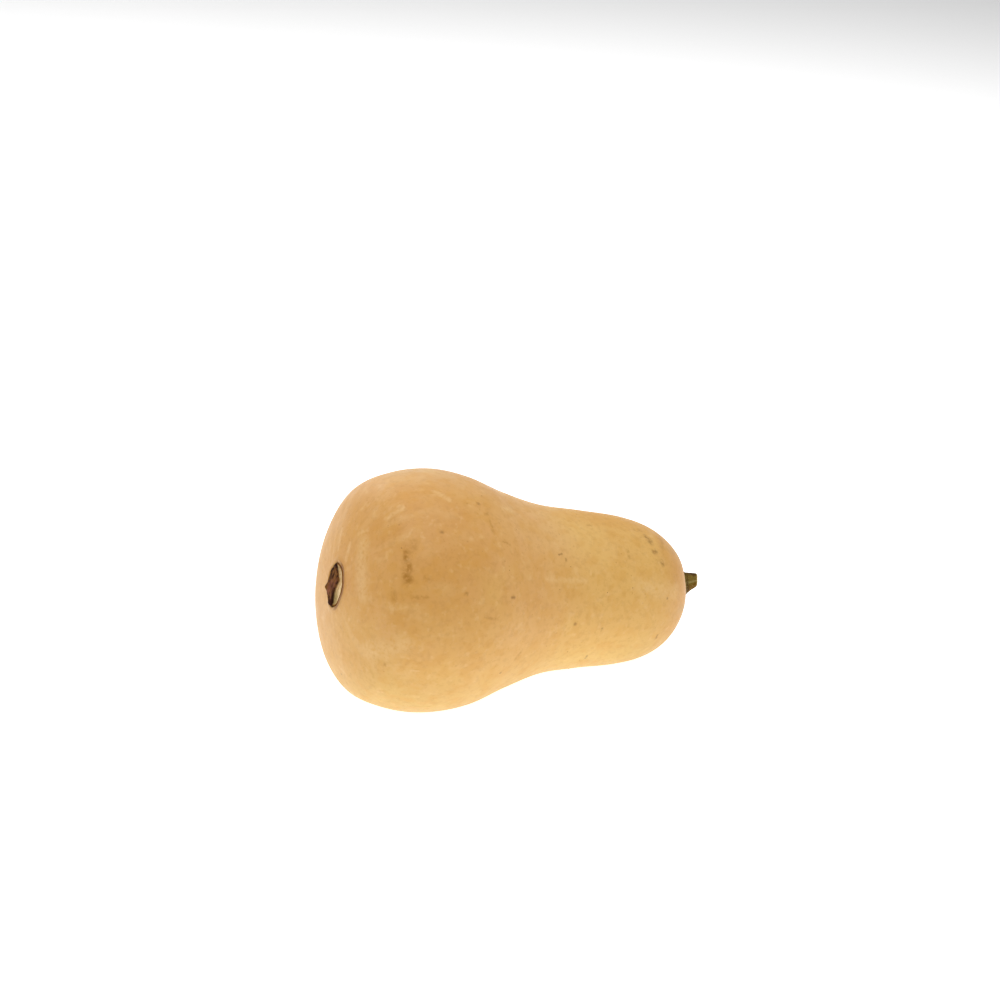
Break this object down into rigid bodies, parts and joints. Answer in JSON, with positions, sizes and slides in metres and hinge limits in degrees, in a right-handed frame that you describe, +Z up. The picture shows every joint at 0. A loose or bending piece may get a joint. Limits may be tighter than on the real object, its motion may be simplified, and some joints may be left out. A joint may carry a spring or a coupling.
{
  "type": "butternut squash",
  "caption": "Whole butternut squash lying on its side, round at the blossom end with a long straight neck, a short woody stem stub and a corky blossom scar.",
  "frame": {"origin": "on the ground under the middle of the whole squash", "axes": "+X along its length towards the stem, +Z up from the ground it lies on"},
  "size_m": [0.2076, 0.1222, 0.1209],
  "materials": {
    "rind": "smooth waxy rind, satin, with faint mottling, pores and small scars",
    "stem_wood": "dry, ridged and fibrous, with pale corky warts",
    "scar_cork": "rough dry cork"
  },
  "bodies": {
    "root": {"fruit": "rind", "stem": "stem_wood", "blossom_scar": "scar_cork"}
  },
  "joints": []
}
